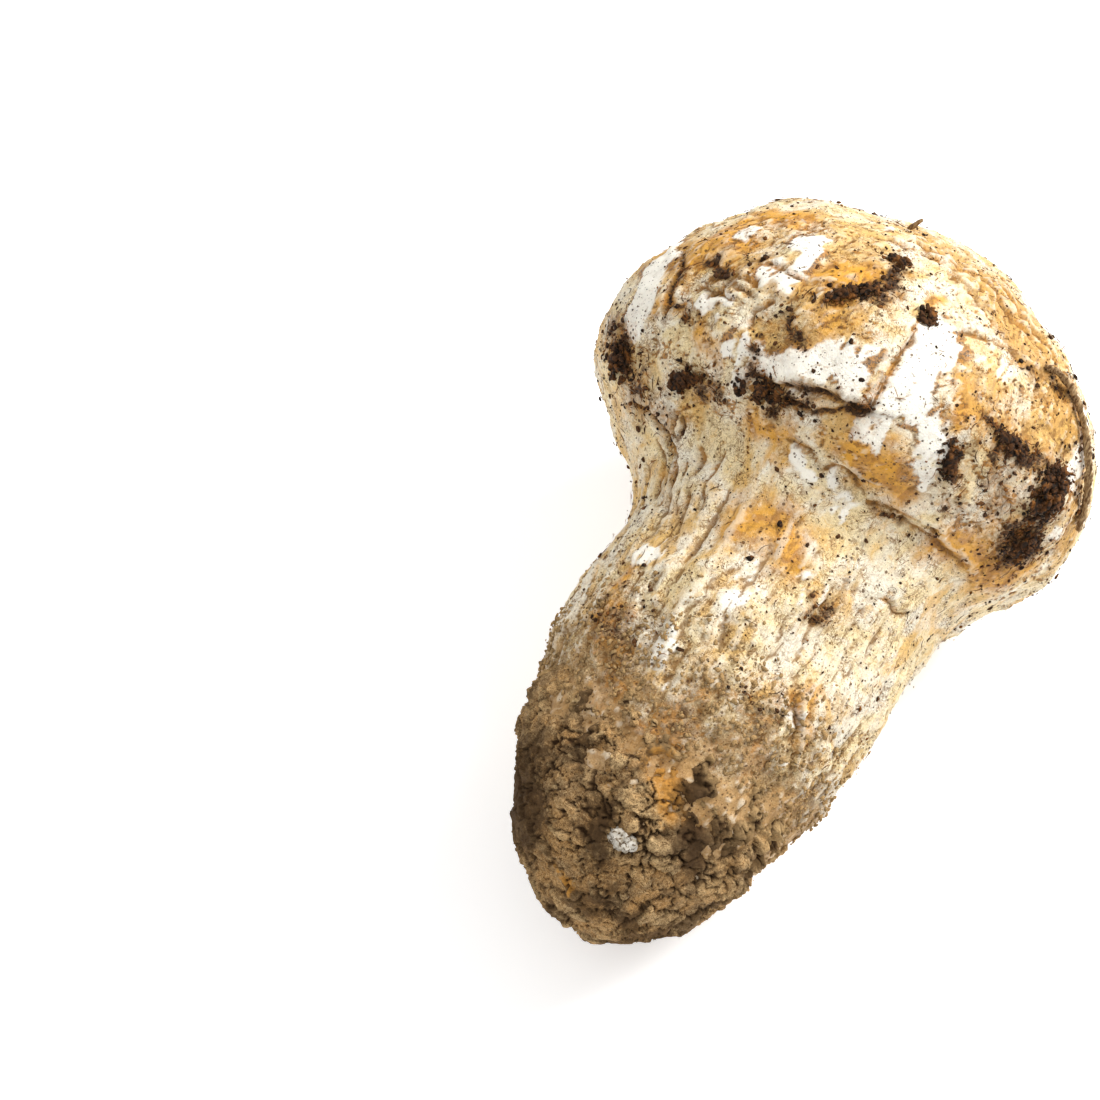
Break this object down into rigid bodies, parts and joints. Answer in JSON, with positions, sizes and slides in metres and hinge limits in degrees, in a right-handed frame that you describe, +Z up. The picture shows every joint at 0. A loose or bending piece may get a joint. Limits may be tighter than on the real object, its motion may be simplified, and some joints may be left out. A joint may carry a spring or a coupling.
{
  "type": "matsutake mushroom",
  "caption": "Freshly dug matsutake button with its cap still closed, lying on its side, with sandy earth on the foot and leaf mould on the cap.",
  "frame": {"origin": "middle of the footprint's box, on the surface that the mushroom lies on", "axes": "+Y from the foot of the stem towards the cap, +Z up from the surface, +X to the right of the stem as seen from above"},
  "size_m": [0.07, 0.1042, 0.0651],
  "materials": {
    "flesh": "cream to ochre, fibrous, matt with a faint damp sheen",
    "earth": "granular sandy earth, dry and matt",
    "leaf_mould": "dark crumbly leaf mould, matt",
    "bark": "brown bark, matt",
    "pebble_stone": "pale grit stone, matt"
  },
  "bodies": {
    "root": {"mushroom_body": "flesh", "soil_crust": "earth", "mould_left_rim": "leaf_mould", "mould_front_left": "leaf_mould", "mould_front": "leaf_mould", "mould_band": "leaf_mould", "mould_crown": "leaf_mould", "mould_pellet": "leaf_mould", "mould_streak": "leaf_mould", "mould_right_top": "leaf_mould", "mould_right": "leaf_mould", "mould_right_low": "leaf_mould", "mould_far_left": "leaf_mould", "mould_far_right": "leaf_mould", "bark_strip": "bark", "twig_end": "bark", "pebble": "pebble_stone"}
  },
  "joints": []
}
